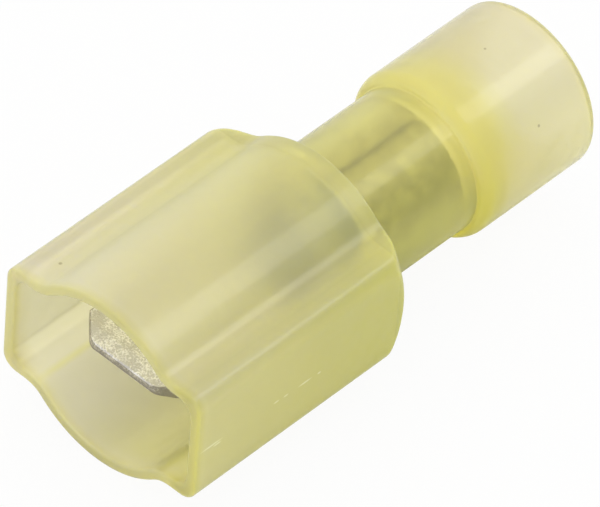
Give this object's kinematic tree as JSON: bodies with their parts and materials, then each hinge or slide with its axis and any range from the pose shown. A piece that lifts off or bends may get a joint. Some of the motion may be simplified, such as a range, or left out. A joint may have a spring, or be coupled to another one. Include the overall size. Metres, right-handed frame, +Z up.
{
  "type": "male spade terminal",
  "caption": "Crimp terminal with a flat tab inside a translucent yellow moulded shroud, a narrow neck round the rolled barrel and a wide round bell for the wire",
  "frame": {"origin": "on the floor under the middle of the part's length and width", "axes": "+X runs along the part from the mouth of the shroud to the wire end, +Y across the width of the tab, +Z up from the floor"},
  "size_m": [0.0274, 0.0116, 0.0095],
  "materials": {
    "yellow_nylon": "translucent pale yellow nylon, satin moulded surface",
    "tinned_brass": "tin-plated brass sheet, bright with a fine grain"
  },
  "bodies": {
    "root": {"insulating_housing": "yellow_nylon", "tab_terminal": "tinned_brass"}
  },
  "joints": []
}
